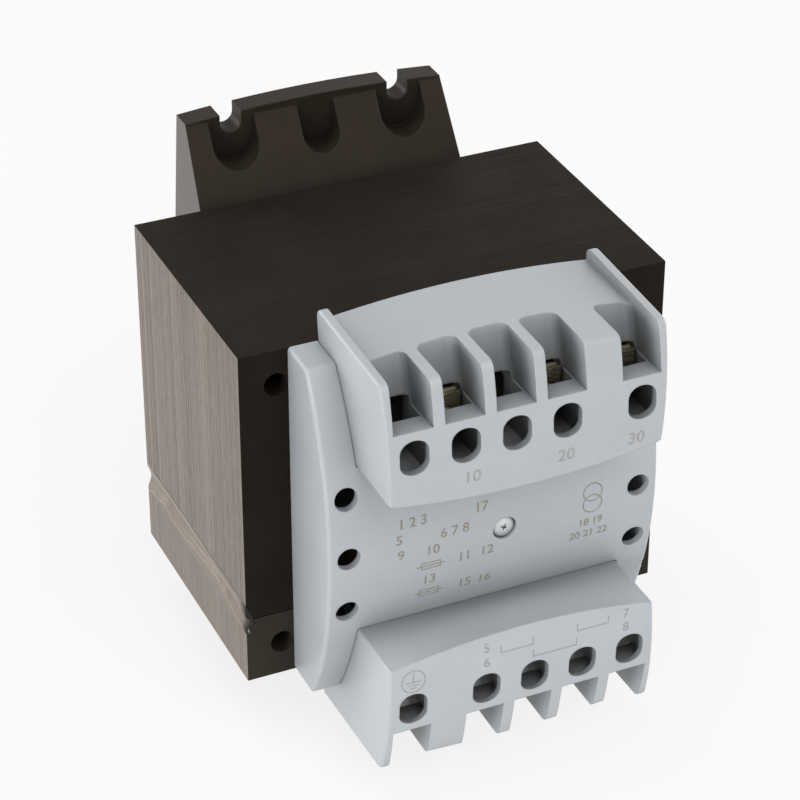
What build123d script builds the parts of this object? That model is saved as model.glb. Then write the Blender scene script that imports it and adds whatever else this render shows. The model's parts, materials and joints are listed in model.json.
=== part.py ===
from build123d import *
import os

# Chassis mount transformer: a welded EI core with its coil, a slotted rear base,
# an arched front cover and two screw terminal blocks.
# The origin is the centre of the rear mounting face.
# X runs to the right, Y to the back and Z up, in millimetres.

# Laminated core
limb_width = 16.0
centre_limb_width = 32.0
window_width = 16.0
window_height = 48.0
stack_depth = 60.0
core_hole_d = 5.2
core_hole_inset = 8.0
weld_height = 4.4
weld_bite = 2.4
weld_hollow = 0.8
weld_drop = 1.6

# Coil former and windings
former_fit = 0.25
former_wall = 1.5
former_corner_r = 1.5
flange_thick = 1.5
flange_rim = 0.35
partition_thick = 2.0
coil_build = 9.5
winding_fit = 0.1
winding_corner_r = 8.0
wrap_thick = 0.4
wrap_fit = 0.05
boss_d = 6.5
boss_gap = 0.3

# Rear base
base_room = 8.4
base_back_wall = 2.5
base_side_wall = 3.2
base_coil_gap = 0.8
base_rim = 4.4
ear_half_width = 30.35
ear_rise = 13.4
ear_crown = 1.4
ear_thick = 5.6
ear_shoulder_drop = 0.3
slot_x = 19.9
slot_width = 5.0
slot_length = 5.2
slot_pocket_r = 5.4
centre_pocket_r = 4.4
pocket_drop = 6.6

# Front cover
cover_width = 74.6
cover_room = 8.3
cover_edge_depth = 9.2
cover_wall = 1.8
cover_edge_r = 0.8
cover_boss_d = 9.0
cover_boss_floor = 1.7
vent_d = 5.1
vent_inset = 4.4
vent_pitch = 13.75
cover_screw_x = 2.0
cover_screw_z = -2.2

# Fixing screws of the cover and the base
fix_shank_d = 2.9
fix_head_d = 5.0
fix_head_h = 1.6
fix_head_sink = 0.6
fix_head_fit = 0.2
fix_bore_fit = 0.1
fix_bite = 4.0
fix_recess_w = 0.8
fix_recess_l = 2.8
fix_recess_depth = 0.9
base_screw_x = 14.0

# Terminal blocks, heights from the lower face of the upper block
terminal_pitch = 11.05
wide_gap_share = 1.5
terminal_h = 10.6
block_lap = 4.0
block_fit = 0.06
block_top = 26.6
block_crown = 1.9
block_roof = 1.8
block_floor = 2.0
coil_side_fit = 0.36
coil_front_room = 7.6
block_back_wall = 2.3
ledge_depth = 6.25
ledge_thick = 1.3
front_wall = 1.9
front_r = 66.6
front_apex_h = 6.8
front_sag = 2.7
front_low_r = 0.5
front_top_r = 2.0
end_plate = 1.95
end_draft = 1.1
plate_rise = 1.3
plate_fall = 1.1
plate_corner_r = 2.0
plate_edge_r = 0.6
well_depth = 6.2
well_side_fit = 0.1
well_floor_gap = 2.3
bay_step = 0.3
bay_lean_back = 3.4
bay_corner_r = 2.0
ledge_over = 5.2
ledge_rise = 0.5
driver_hole_d = 7.65
driver_hole_width = 6.3
driver_corner_r = 2.6
window_over = 1.3
tongue_length = 2.4
tongue_thick = 1.6
tongue_width = 50.0

# Terminal hardware, heights from the screw's axis
tag_width = 6.2
tag_thick = 1.0
tag_rise = 6.0
tag_tail_drop = 3.6
tag_tail_width = 4.0
tag_tail_fit = 0.2
clamp_rise = 5.8
clamp_drop = 3.8
clamp_thick = 1.0
clamp_lip = 0.7
clamp_lip_fit = 0.1
clamp_lip_short = 0.2
clamp_bend_r = 0.5
clamp_bore_fit = 0.2
screw_d = 3.5
screw_bore_fit = 0.05
screw_head_d = 5.8
screw_head_h = 2.4
screw_head_bevel = 0.4
screw_slot_w = 0.9
screw_slot_depth = 1.2
screw_reach = 2.0
lead_d = 1.8
lead_hole_fit = 0.3
earth_foot_height = 7.0

# Sizes and places that follow from the ones above
core_width = centre_limb_width + 2 * window_width + 2 * limb_width
core_height = window_height + 2 * limb_width
former_half_x = centre_limb_width / 2 + former_fit
former_over = former_fit + former_wall
coil_over = former_over + coil_build
coil_half_x = centre_limb_width / 2 + coil_over
coil_mid_over = former_over + coil_build / 2
flange_over = coil_over + flange_rim
flange_half_x = coil_half_x + flange_rim
base_depth = flange_over + base_room
core_back_y = -base_depth
core_front_y = core_back_y - stack_depth
core_mid_y = (core_front_y + core_back_y) / 2
window_half_h = window_height / 2
joint_z = -window_half_h
weld_z = joint_z - weld_drop
flange_top_z = window_half_h - former_fit
chamber_top_z = flange_top_z - flange_thick
partition_low = cover_screw_z - partition_thick / 2
partition_high = cover_screw_z + partition_thick / 2

ear_side_z = core_height / 2 + ear_rise
ear_top_z = ear_side_z + ear_crown
slot_floor_z = ear_top_z - slot_length
pocket_floor_z = slot_floor_z - pocket_drop

cover_apex_depth = flange_over + cover_room
cover_half_h = core_height / 2
cover_sag = cover_apex_depth - cover_edge_depth
cover_r = (cover_half_h ** 2 + cover_sag ** 2) / (2 * cover_sag)
vent_x = cover_width / 2 - vent_inset
front_head_y = core_front_y - cover_apex_depth + fix_head_sink + fix_head_h
front_boss_y = front_head_y + cover_boss_floor
front_boss_root_y = core_front_y - coil_over - boss_gap
rear_head_y = -fix_head_sink - fix_head_h
rear_boss_y = rear_head_y - cover_boss_floor
rear_boss_root_y = core_back_y + coil_over + boss_gap
fix_bore_d = fix_shank_d + fix_bore_fit
fix_way_d = fix_shank_d + 2 * fix_bore_fit
fix_sink_d = fix_head_d + 2 * fix_head_fit

clamp_width = tag_width + 2 * clamp_lip_fit + 2 * clamp_lip
well_width = clamp_width + 2 * well_side_fit
bay_width = well_width + 2 * bay_step
hollow_depth = flange_over + coil_front_room
well_back_depth = hollow_depth + block_back_wall
well_front_depth = well_back_depth + well_depth
block_depth = well_front_depth + ledge_depth
skin_depth = block_depth - front_wall
block_z = window_half_h - block_lap
front_apex_z = block_z + front_apex_h
block_top_z = block_z + block_top
arch_side_z = block_top_z - block_crown
plate_back_z = block_top_z + plate_rise
plate_front_z = plate_back_z - plate_fall
terminal_z = block_z + terminal_h
ledge_z = terminal_z + ledge_over
window_top_z = ledge_z + window_over
well_floor_z = terminal_z - clamp_drop - well_floor_gap
tail_z = terminal_z - tag_tail_drop
end_share = (3 + wide_gap_share) / 2
terminal_steps = (-end_share, 1 - end_share, 2 - end_share, 3 - end_share, end_share)
terminal_x = [k * terminal_pitch for k in terminal_steps]
plate_inner_x = end_share * terminal_pitch + bay_width / 2
plate_outer_x = plate_inner_x + end_plate
plate_foot_x = plate_outer_x - end_draft
wall_front_y = core_front_y - well_back_depth
wall_back_y = wall_front_y + block_back_wall
tag_front_y = wall_front_y - tag_thick
clamp_front_y = tag_front_y - clamp_thick
lead_y = core_front_y - coil_mid_over


def prism_y(outline, y_one, y_two):
    return extrude(Plane.XZ.offset(-max(y_one, y_two)) * outline, amount=abs(y_two - y_one))


def prism_x(outline, x_low, x_high):
    return extrude(Plane.YZ.offset(x_low) * outline, amount=x_high - x_low)


def prism_z(outline, z_low, z_high):
    return extrude(Plane.XY.offset(z_low) * outline, amount=z_high - z_low)


def polygon(points):
    return make_face(Polyline(*points, close=True))


# A point in a side view, given by its distance in front of the core.
def ahead(depth, z):
    return (core_front_y - depth, z)


def box_between(x_low, x_high, y_low, y_high, z_low, z_high):
    outline = Pos((x_low + x_high) / 2, (y_low + y_high) / 2) * Rectangle(x_high - x_low, y_high - y_low)
    return prism_z(outline, z_low, z_high)


# Half a turn about the mounting axis takes the upper terminal block to the lower one.
def half_turn(shape):
    return shape.rotate(Axis.Y, 180)


# Laminated core
hole_x = core_width / 2 - core_hole_inset
hole_z = core_height / 2 - core_hole_inset


# The sheets' joint is welded in a notch along each side, and the weld's face is dished
def weld_sections(side):
    face_x = side * core_width / 2
    upper = (face_x, weld_z + weld_height / 2)
    lower = (face_x, weld_z - weld_height / 2)
    root = (face_x - side * weld_bite, weld_z)
    dish = ThreePointArc(lower, (face_x - side * weld_hollow, weld_z), upper)
    return polygon([upper, root, lower]), make_face([Line(upper, root), Line(root, lower), dish])


core_outline = Rectangle(core_width, core_height)
core_outline -= GridLocations(2 * hole_x, 2 * hole_z, 2, 2) * Circle(core_hole_d / 2)
window_x = centre_limb_width / 2 + window_width / 2
core_outline -= Locations((window_x, 0), (-window_x, 0)) * Rectangle(window_width, 2 * window_half_h)
core_block = prism_y(core_outline, core_front_y, core_back_y)

left_notch, left_weld = weld_sections(-1)
right_notch, right_weld = weld_sections(1)
weld_bead_left = prism_y(left_weld, core_front_y, core_back_y)
weld_bead_right = prism_y(right_weld, core_front_y, core_back_y)
core_block -= prism_y(left_notch, core_front_y, core_back_y)
core_block -= prism_y(right_notch, core_front_y, core_back_y)
lower_half = box_between(-core_width, core_width, core_front_y - 1, core_back_y + 1, -core_height, joint_z)
e_core_stack = core_block - lower_half
i_core_stack = core_block & lower_half


# Coil former: a tube on the centre limb, two end flanges, a partition and screw bosses
def coil_ring(outer_x, outer_over, outer_r, inner_x, inner_over, inner_r):
    outer = RectangleRounded(2 * outer_x, stack_depth + 2 * outer_over, outer_r)
    inner = RectangleRounded(2 * inner_x, stack_depth + 2 * inner_over, inner_r)
    return Pos(0, core_mid_y) * (outer - inner)


limb_gap = Pos(0, core_mid_y) * Rectangle(2 * former_half_x, stack_depth + 2 * former_fit)
tube_outline = Pos(0, core_mid_y) * RectangleRounded(2 * former_half_x + 2 * former_wall,
                                                     stack_depth + 2 * former_over, former_corner_r)
flange_outline = Pos(0, core_mid_y) * RectangleRounded(2 * flange_half_x, stack_depth + 2 * flange_over,
                                                       former_corner_r)
bobbin = prism_z(tube_outline, -flange_top_z, flange_top_z)
bobbin += prism_z(flange_outline, chamber_top_z, flange_top_z)
bobbin += prism_z(flange_outline, -flange_top_z, -chamber_top_z)
bobbin += prism_z(flange_outline, partition_low, partition_high)


def boss(x, d, y_one, y_two):
    return prism_y(Pos(x, cover_screw_z) * Circle(d / 2), y_one, y_two)


def boss_tab(x, y_low, y_high):
    return box_between(x - boss_d / 2, x + boss_d / 2, y_low, y_high, partition_low, partition_high)


bobbin += boss(cover_screw_x, boss_d, front_boss_y, front_boss_root_y)
bobbin += boss_tab(cover_screw_x, front_boss_root_y, core_front_y - former_over)
for side in (-1, 1):
    bobbin += boss(side * base_screw_x, boss_d, rear_boss_root_y, rear_boss_y)
    bobbin += boss_tab(side * base_screw_x, core_back_y + former_over, rear_boss_root_y)
bobbin -= prism_z(limb_gap, -core_height, core_height)
bobbin -= boss(cover_screw_x, fix_bore_d, front_boss_y, front_boss_root_y)
for side in (-1, 1):
    bobbin -= boss(side * base_screw_x, fix_bore_d, rear_boss_root_y, rear_boss_y)

# Windings and their wraps
wind_x = coil_half_x - wrap_thick - wrap_fit
wind_over = coil_over - wrap_thick - wrap_fit
wind_ring = coil_ring(wind_x, wind_over, winding_corner_r,
                      former_half_x + former_wall + winding_fit, former_over + winding_fit, former_corner_r)
wrap_ring = coil_ring(coil_half_x, coil_over, winding_corner_r + wrap_thick + wrap_fit,
                      coil_half_x - wrap_thick, coil_over - wrap_thick, winding_corner_r + wrap_fit)
primary_winding = prism_z(wind_ring, partition_high, chamber_top_z)
secondary_winding = prism_z(wind_ring, -chamber_top_z, partition_low)
primary_wrap = prism_z(wrap_ring, partition_high, chamber_top_z)
secondary_wrap = prism_z(wrap_ring, -chamber_top_z, partition_low)

# Rear base: a cup over the rear coil head with an arched, slotted ear above and below
base_half_x = flange_half_x + base_coil_gap + base_side_wall
base_foot_z = window_half_h + base_coil_gap + base_rim
ear_shoulder_z = ear_side_z - ear_shoulder_drop
base_front = make_face([
    ThreePointArc((-ear_half_width, ear_side_z), (0, ear_top_z), (ear_half_width, ear_side_z)),
    Polyline((ear_half_width, ear_side_z), (base_half_x, base_foot_z), (base_half_x, -base_foot_z),
             (ear_half_width, -ear_side_z)),
    ThreePointArc((ear_half_width, -ear_side_z), (0, -ear_top_z), (-ear_half_width, -ear_side_z)),
    Polyline((-ear_half_width, -ear_side_z), (-base_half_x, -base_foot_z), (-base_half_x, base_foot_z),
             (-ear_half_width, ear_side_z)),
])
base_side = polygon([
    (0, -2 * ear_top_z), (0, 2 * ear_top_z), (-ear_thick, 2 * ear_top_z), (-ear_thick, ear_shoulder_z),
    (core_back_y, base_foot_z), (core_back_y, -base_foot_z), (-ear_thick, -ear_shoulder_z),
    (-ear_thick, -2 * ear_top_z),
])
rear_base = prism_y(base_front, core_back_y, 0) & prism_x(base_side, -base_half_x, base_half_x)


# A round-bottomed cut that is open upwards.
def open_slot(x, floor_z, r):
    straight = 2 * ear_top_z - floor_z - r
    return Pos(x, floor_z + r) * (Circle(r) + Pos(0, straight / 2) * Rectangle(2 * r, straight))


ear_cuts = prism_y(open_slot(0, pocket_floor_z, centre_pocket_r), core_back_y, -ear_thick)
for side in (-1, 1):
    ear_cuts += prism_y(open_slot(side * slot_x, pocket_floor_z, slot_pocket_r), core_back_y, -ear_thick)
    ear_cuts += prism_y(open_slot(side * slot_x, slot_floor_z, slot_width / 2), core_back_y, 1)
rear_base -= ear_cuts
rear_base -= half_turn(ear_cuts)
coil_room = RectangleRounded(2 * (flange_half_x + base_coil_gap), 2 * (window_half_h + base_coil_gap),
                             former_corner_r)
rear_base -= prism_y(coil_room, core_back_y, -base_back_wall)
for side in (-1, 1):
    rear_base += boss(side * base_screw_x, cover_boss_d, rear_boss_y, -base_back_wall)
    rear_base -= boss(side * base_screw_x, fix_way_d, rear_boss_y, 0)
    rear_base -= boss(side * base_screw_x, fix_sink_d, rear_head_y, 0)

# Depths of the cover's two faces and of the block's front, in front of the core
def cover_depth(z, wall):
    return cover_apex_depth - cover_r + ((cover_r - wall) ** 2 - z ** 2) ** 0.5


def front_depth(z):
    return block_depth - front_r + (front_r ** 2 - (z - front_apex_z) ** 2) ** 0.5


# Terminal block, drawn as the upper one. Its front edge hangs in an arc below the straight
# line on which the block leaves the cover.
def block_outline(under):
    left = (-plate_inner_x, block_z)
    right = (plate_inner_x, block_z)
    return make_face([
        under(left, right), Line(right, (plate_inner_x, arch_side_z)),
        ThreePointArc((plate_inner_x, arch_side_z), (0, block_top_z), (-plate_inner_x, arch_side_z)),
        Line((-plate_inner_x, arch_side_z), left),
    ])


def side_outline(low_z):
    low = ahead(front_depth(low_z), low_z)
    apex = ahead(block_depth, front_apex_z)
    high = ahead(front_depth(plate_front_z), plate_front_z)
    return make_face([
        ThreePointArc(low, apex, high),
        Polyline(high, ahead(0, plate_back_z), ahead(0, low_z), low),
    ])


far_depth = 2 * block_depth
block_reach = core_front_y - far_depth
leave_depth = cover_depth(block_z, 0)
leave_y = core_front_y - leave_depth
far_sag = front_sag * (far_depth - leave_depth) / (front_depth(block_z) - leave_depth)
flat_outline = block_outline(Line)
arched_outline = block_outline(lambda left, right: ThreePointArc(left, (0, block_z - far_sag), right))
block_body = prism_y(flat_outline, leave_y, core_front_y)
block_body += loft([Plane.XZ.offset(-leave_y) * flat_outline, Plane.XZ.offset(-block_reach) * arched_outline],
                   ruled=True)
block_body &= prism_x(side_outline(block_z - 2 * front_sag), -plate_inner_x, plate_inner_x)
roof = block_body.faces().sort_by(Axis.Z)[-1]
block_body = fillet(roof.edges().sort_by(Axis.Y)[0], front_top_r)

plate_side = side_outline(block_z)
plate_side = fillet(plate_side.vertices().sort_by(Axis.Y)[:2].sort_by(Axis.X)[0], front_low_r)
plate_side = fillet(plate_side.vertices().sort_by(Axis.Y)[-2:], plate_corner_r)
plate_front = polygon([
    (plate_inner_x, block_z), (plate_foot_x, block_z), (plate_outer_x, plate_back_z),
    (plate_inner_x, plate_back_z),
])
right_plate = prism_y(plate_front, block_reach, core_front_y) & prism_x(plate_side, 0, 2 * plate_outer_x)
outer_face = right_plate.faces().sort_by(Axis.X)[-1]
soft_edges = [e for e in outer_face.edges() if e.center().Y < core_front_y - plate_edge_r]
right_plate = fillet(soft_edges, plate_edge_r)
left_plate = mirror(right_plate, about=Plane.YZ)
block_body = block_body + right_plate + left_plate

# The bay's back wall leans forward on its way down to the clamp well.
lean = bay_lean_back / (block_top_z - ledge_z)
rise = ledge_rise / ledge_depth
far_z = block_z + 2 * block_top
bay_side = polygon([
    ahead(far_depth, ledge_z + rise * (far_depth - well_front_depth)),
    ahead(well_front_depth, ledge_z),
    ahead(well_back_depth, ledge_z),
    ahead(well_back_depth - lean * (far_z - ledge_z), far_z),
    ahead(far_depth, far_z),
])
driver_outline = Circle(driver_hole_d / 2) & Rectangle(driver_hole_width, 2 * driver_hole_d)
driver_outline = fillet(driver_outline.vertices(), driver_corner_r)


def bay(x):
    cut = prism_x(bay_side, x - bay_width / 2, x + bay_width / 2)
    back_face = cut.faces().sort_by(Axis.Y)[-1]
    return fillet([e for e in back_face.edges() if abs(e.tangent_at(0.5).X) < 0.5], bay_corner_r)


# The well runs on under the ledge to the thin front wall, and a window behind it lets the terminal in.
def well(x):
    half = well_width / 2
    well_front_y = core_front_y - well_front_depth
    shaft = box_between(x - half, x + half, well_front_y, wall_front_y, well_floor_z, window_top_z)
    toe = box_between(x - half, x + half, core_front_y - skin_depth, well_front_y, well_floor_z,
                      ledge_z - ledge_thick)
    window = box_between(x - half, x + half, wall_front_y, wall_back_y + window_over, tail_z - tag_tail_fit,
                         window_top_z)
    return shaft + toe + window


def driver_hole(x):
    return prism_y(Pos(x, terminal_z) * driver_outline, block_reach, core_front_y - skin_depth)


def screw_way(x, fit):
    return prism_y(Pos(x, terminal_z) * Circle(screw_d / 2 + fit), clamp_front_y, wall_back_y + screw_reach)


# The block is open behind and below for the coil head, up to a tongue that lies behind the cover.
tongue_front = cover_depth(block_z, cover_wall) - block_fit
tongue_back = tongue_front - tongue_thick
hollow_top_z = arch_side_z - block_roof
floor_z = block_z + block_floor
hollow_side = polygon([
    ahead(-1, hollow_top_z),
    ahead(hollow_depth - lean * (hollow_top_z - ledge_z), hollow_top_z),
    ahead(hollow_depth, ledge_z),
    ahead(hollow_depth, floor_z),
    ahead(tongue_back, floor_z),
    ahead(tongue_back, block_z - 1),
    ahead(-1, block_z - 1),
])
hollow_half = flange_half_x + coil_side_fit
block = block_body - prism_x(hollow_side, -hollow_half, hollow_half)
block += box_between(-tongue_width / 2, tongue_width / 2, core_front_y - tongue_front,
                     core_front_y - tongue_back, block_z - tongue_length, floor_z)
for x in terminal_x:
    block -= bay(x)
    block -= well(x)
    block -= driver_hole(x)
primary_terminal_block = block
secondary_terminal_block = half_turn(block)


# Front cover
def cover_side(edge_depth, apex_depth, half_h, back_depth):
    return make_face([
        Line(ahead(back_depth, -half_h), ahead(edge_depth, -half_h)),
        ThreePointArc(ahead(edge_depth, -half_h), ahead(apex_depth, 0), ahead(edge_depth, half_h)),
        Line(ahead(edge_depth, half_h), ahead(back_depth, half_h)),
        Line(ahead(back_depth, half_h), ahead(back_depth, -half_h)),
    ])


cover_reach = core_front_y - 2 * cover_apex_depth
inner_half_h = cover_half_h - cover_wall
inner_width = cover_width - 2 * cover_wall
front_cover = prism_y(Rectangle(cover_width, core_height), cover_reach, core_front_y)
front_cover &= prism_x(cover_side(cover_edge_depth, cover_apex_depth, cover_half_h, 0), -cover_width,
                       cover_width)
front_edges = front_cover.faces().sort_by(Axis.Y)[0].edges()
front_cover = fillet(front_edges + front_cover.edges().filter_by(Axis.Y), cover_edge_r)
inside = prism_y(Rectangle(inner_width, 2 * inner_half_h), cover_reach, core_front_y)
inner_edge_depth = cover_depth(inner_half_h, cover_wall)
inside &= prism_x(cover_side(inner_edge_depth, cover_apex_depth - cover_wall, inner_half_h, -1), -cover_width,
                  cover_width)
front_cover -= inside
front_cover += boss(cover_screw_x, cover_boss_d, core_front_y - cover_apex_depth + cover_wall / 2,
                    front_boss_y)
front_cover -= boss(cover_screw_x, fix_way_d, front_head_y, front_boss_y)
front_cover -= boss(cover_screw_x, fix_sink_d, cover_reach, front_head_y)
vents = GridLocations(2 * vent_x, vent_pitch, 2, 3) * Circle(vent_d / 2)
front_cover -= prism_y(Sketch() + vents, cover_reach, core_front_y - cover_edge_depth)
block_notch = prism_y(polygon([
    (-plate_foot_x - block_fit, block_z - block_fit), (plate_foot_x + block_fit, block_z - block_fit),
    (plate_outer_x + block_fit, plate_back_z), (-plate_outer_x - block_fit, plate_back_z),
]), cover_reach, core_front_y)
front_cover -= block_notch
front_cover -= half_turn(block_notch)


# Fixing screws
def fixing_screw(x, under_y, inward):
    top_y = under_y - inward * fix_head_h
    tip_y = under_y + inward * (cover_boss_floor + fix_bite)
    cross = Rectangle(fix_recess_l, fix_recess_w) + Rectangle(fix_recess_w, fix_recess_l)
    screw = boss(x, fix_head_d, top_y, under_y) + boss(x, fix_shank_d, under_y, tip_y)
    return screw - prism_y(Pos(x, cover_screw_z) * cross, top_y, top_y + inward * fix_recess_depth)


cover_screw = fixing_screw(cover_screw_x, front_head_y, 1)
base_screw_left = fixing_screw(-base_screw_x, rear_head_y, -1)
base_screw_right = fixing_screw(base_screw_x, rear_head_y, -1)


# Terminal hardware, drawn in the upper block
def tag(x, tail_end_y):
    plate = box_between(x - tag_width / 2, x + tag_width / 2, tag_front_y, wall_front_y, tail_z,
                        terminal_z + tag_rise)
    tail = box_between(x - tag_tail_width / 2, x + tag_tail_width / 2, wall_front_y, tail_end_y, tail_z,
                       tail_z + tag_thick)
    return plate + tail - screw_way(x, screw_bore_fit)


def footed_tag(x):
    foot = box_between(x - tag_tail_width / 2, x + tag_tail_width / 2, core_front_y - tag_thick, core_front_y,
                       tail_z, tail_z + earth_foot_height)
    return tag(x, core_front_y) + foot


def clamp(x):
    half = clamp_width / 2
    inner = half - clamp_lip
    lip_end_y = wall_front_y - clamp_lip_short
    outline = polygon([
        (x - half, clamp_front_y), (x + half, clamp_front_y), (x + half, lip_end_y), (x + inner, lip_end_y),
        (x + inner, tag_front_y), (x - inner, tag_front_y), (x - inner, lip_end_y), (x - half, lip_end_y),
    ])
    outline = fillet(outline.vertices().sort_by(Axis.Y)[:2], clamp_bend_r)
    saddle = prism_z(outline, terminal_z - clamp_drop, terminal_z + clamp_rise)
    return saddle - screw_way(x, clamp_bore_fit)


def terminal_screw(x):
    head = prism_y(Pos(x, terminal_z) * Circle(screw_head_d / 2), clamp_front_y - screw_head_h, clamp_front_y)
    head = chamfer(head.edges().sort_by(Axis.Y)[0], screw_head_bevel)
    slot = Rectangle(2 * screw_head_d, screw_slot_w) + Rectangle(screw_slot_w, screw_head_d / 2)
    head -= prism_y(Pos(x, terminal_z) * slot, clamp_front_y - screw_head_h,
                    clamp_front_y - screw_head_h + screw_slot_depth)
    shank = prism_y(Pos(x, terminal_z) * Circle(screw_d / 2), clamp_front_y, wall_back_y + screw_reach)
    return head + shank


def lead(x):
    return prism_z(Pos(x, lead_y) * Circle(lead_d / 2), chamber_top_z, tail_z)


def lead_hole(x):
    return prism_z(Pos(x, lead_y) * Circle(lead_d / 2 + lead_hole_fit), chamber_top_z, flange_top_z)


primary_x = [terminal_x[1], terminal_x[3], terminal_x[4]]
secondary_x = [terminal_x[3], terminal_x[2], terminal_x[1], terminal_x[0]]
earth_x = terminal_x[4]
tail_end_y = lead_y + lead_d

nodes = {}
for number, x in enumerate(primary_x, 1):
    nodes[f"primary_tag_{number}"] = tag(x, tail_end_y)
    nodes[f"primary_clamp_{number}"] = clamp(x)
    nodes[f"primary_screw_{number}"] = terminal_screw(x)
    nodes[f"primary_lead_{number}"] = lead(x)
    bobbin -= lead_hole(x)
for number, x in enumerate(secondary_x, 1):
    nodes[f"secondary_tag_{number}"] = half_turn(tag(x, tail_end_y))
    nodes[f"secondary_clamp_{number}"] = half_turn(clamp(x))
    nodes[f"secondary_screw_{number}"] = half_turn(terminal_screw(x))
    nodes[f"secondary_lead_{number}"] = half_turn(lead(x))
    bobbin -= half_turn(lead_hole(x))
nodes["earth_tag"] = half_turn(footed_tag(earth_x))
nodes["earth_clamp"] = half_turn(clamp(earth_x))
nodes["earth_screw"] = half_turn(terminal_screw(earth_x))

nodes["e_core_stack"] = e_core_stack
nodes["i_core_stack"] = i_core_stack
nodes["weld_bead_left"] = weld_bead_left
nodes["weld_bead_right"] = weld_bead_right
nodes["bobbin"] = bobbin
nodes["primary_winding"] = primary_winding
nodes["secondary_winding"] = secondary_winding
nodes["primary_wrap"] = primary_wrap
nodes["secondary_wrap"] = secondary_wrap
nodes["rear_base"] = rear_base
nodes["base_screw_left"] = base_screw_left
nodes["base_screw_right"] = base_screw_right
nodes["front_cover"] = front_cover
nodes["cover_screw"] = cover_screw
nodes["primary_terminal_block"] = primary_terminal_block
nodes["secondary_terminal_block"] = secondary_terminal_block

os.makedirs("parts", exist_ok=True)
for name, shape in nodes.items():
    export_step(shape, f"parts/{name}.step")
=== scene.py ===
import json
import math
import random

import bmesh
import bpy
from mathutils import Matrix, Vector


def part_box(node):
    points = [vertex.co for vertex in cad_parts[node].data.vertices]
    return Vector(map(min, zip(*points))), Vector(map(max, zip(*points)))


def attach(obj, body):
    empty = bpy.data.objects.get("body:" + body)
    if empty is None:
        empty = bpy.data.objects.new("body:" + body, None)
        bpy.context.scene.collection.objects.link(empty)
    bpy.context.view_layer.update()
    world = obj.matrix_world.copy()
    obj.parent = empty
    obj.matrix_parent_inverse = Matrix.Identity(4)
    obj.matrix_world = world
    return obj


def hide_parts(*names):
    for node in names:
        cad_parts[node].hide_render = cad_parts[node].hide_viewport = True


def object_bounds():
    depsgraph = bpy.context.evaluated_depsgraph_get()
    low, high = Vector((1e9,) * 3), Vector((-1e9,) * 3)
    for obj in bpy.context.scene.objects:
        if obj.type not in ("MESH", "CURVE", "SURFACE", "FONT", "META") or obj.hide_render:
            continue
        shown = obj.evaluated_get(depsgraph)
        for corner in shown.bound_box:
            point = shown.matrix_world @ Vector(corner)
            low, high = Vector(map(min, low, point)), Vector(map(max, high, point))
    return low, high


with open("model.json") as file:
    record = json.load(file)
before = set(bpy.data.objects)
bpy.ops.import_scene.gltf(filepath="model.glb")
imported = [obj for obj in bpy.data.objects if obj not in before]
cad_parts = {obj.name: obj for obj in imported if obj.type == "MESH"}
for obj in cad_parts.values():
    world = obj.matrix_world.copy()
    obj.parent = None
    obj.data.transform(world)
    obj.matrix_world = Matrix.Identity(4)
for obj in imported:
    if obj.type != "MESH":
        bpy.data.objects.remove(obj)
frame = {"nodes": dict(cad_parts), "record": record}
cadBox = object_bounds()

mm = 0.001
plainWhite = (1, 1, 1, 1)
touch = 0.001 * mm  # two heights closer than this are the same
smoothAngle = math.radians(35)
facingFront = (math.pi / 2, 0, 0)  # stands a flat primitive up
midTones = (0.3, 0.7)  # most of a noise lies between these
mixSockets = {"first": 6, "second": 7, "result": 2}  # the colour sockets of a Mix node
scene = bpy.context.scene
scene.view_settings.view_transform = "Standard"
print("frame loaded:", len(frame["nodes"]), "nodes")


# picking and editing

def clearPick():
    if bpy.context.object and bpy.context.object.mode == "EDIT":
        bpy.ops.object.mode_set(mode="OBJECT")
    bpy.ops.object.select_all(action="DESELECT")


def pick(*items):
    clearPick()
    for item in items:
        item.select_set(True)
    bpy.context.view_layer.objects.active = items[0]


def openEdit(piece):
    pick(piece)
    bpy.ops.object.mode_set(mode="EDIT")
    bpy.ops.mesh.select_all(action="SELECT")


def closeEdit():
    bpy.ops.object.mode_set(mode="OBJECT")


def pickInside(piece, part, test):  # part is verts or faces
    bpy.ops.mesh.select_mode(type={"verts": "VERT", "faces": "FACE"}[part])
    bpy.ops.mesh.select_all(action="DESELECT")
    shape = bmesh.from_edit_mesh(piece.data)
    for item in getattr(shape, part):
        centre = item.co if part == "verts" else item.calc_center_median()
        if test(centre):
            item.select_set(True)
    shape.select_flush_mode()
    bmesh.update_edit_mesh(piece.data)


def scribe(place, normal):  # a new line of edges across everything
    bpy.ops.mesh.select_all(action="SELECT")
    bpy.ops.mesh.bisect(plane_co=place, plane_no=normal)


def applyModifier(piece, kind, **settings):
    modifier = piece.modifiers.new(kind.title(), kind)
    for key, value in settings.items():
        setattr(modifier, key, value)
    pick(piece)
    bpy.ops.object.modifier_apply(modifier=modifier.name)


def joinPieces(pieces):
    pick(*pieces)
    if len(pieces) > 1:
        bpy.ops.object.join()
    return bpy.context.object


def applyPlace(piece):
    pick(piece)
    bpy.ops.object.transform_apply(location=True, rotation=True, scale=True)


def settle(piece, name, slotName, material, *nodes):
    applyPlace(piece)
    bpy.ops.object.shade_smooth_by_angle(angle=smoothAngle)
    piece.name = name
    piece.data.name = name
    piece.data.materials.clear()
    piece.data.materials.append(material)
    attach(piece, "root")
    if nodes:
        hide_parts(*nodes)
    return piece


# shader building

def addNode(tree, kind, **settings):
    node = tree.nodes.new("ShaderNode" + kind)
    for key, value in settings.items():
        setattr(node, key, value)
    return node


def feed(tree, socket, value):
    if isinstance(value, bpy.types.NodeSocket):
        tree.links.new(value, socket)
    else:
        socket.default_value = value


def calc(tree, operation, first, second=0.0):
    node = addNode(tree, "Math", operation=operation)
    feed(tree, node.inputs[0], first)
    feed(tree, node.inputs[1], second)
    return node.outputs[0]


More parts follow.
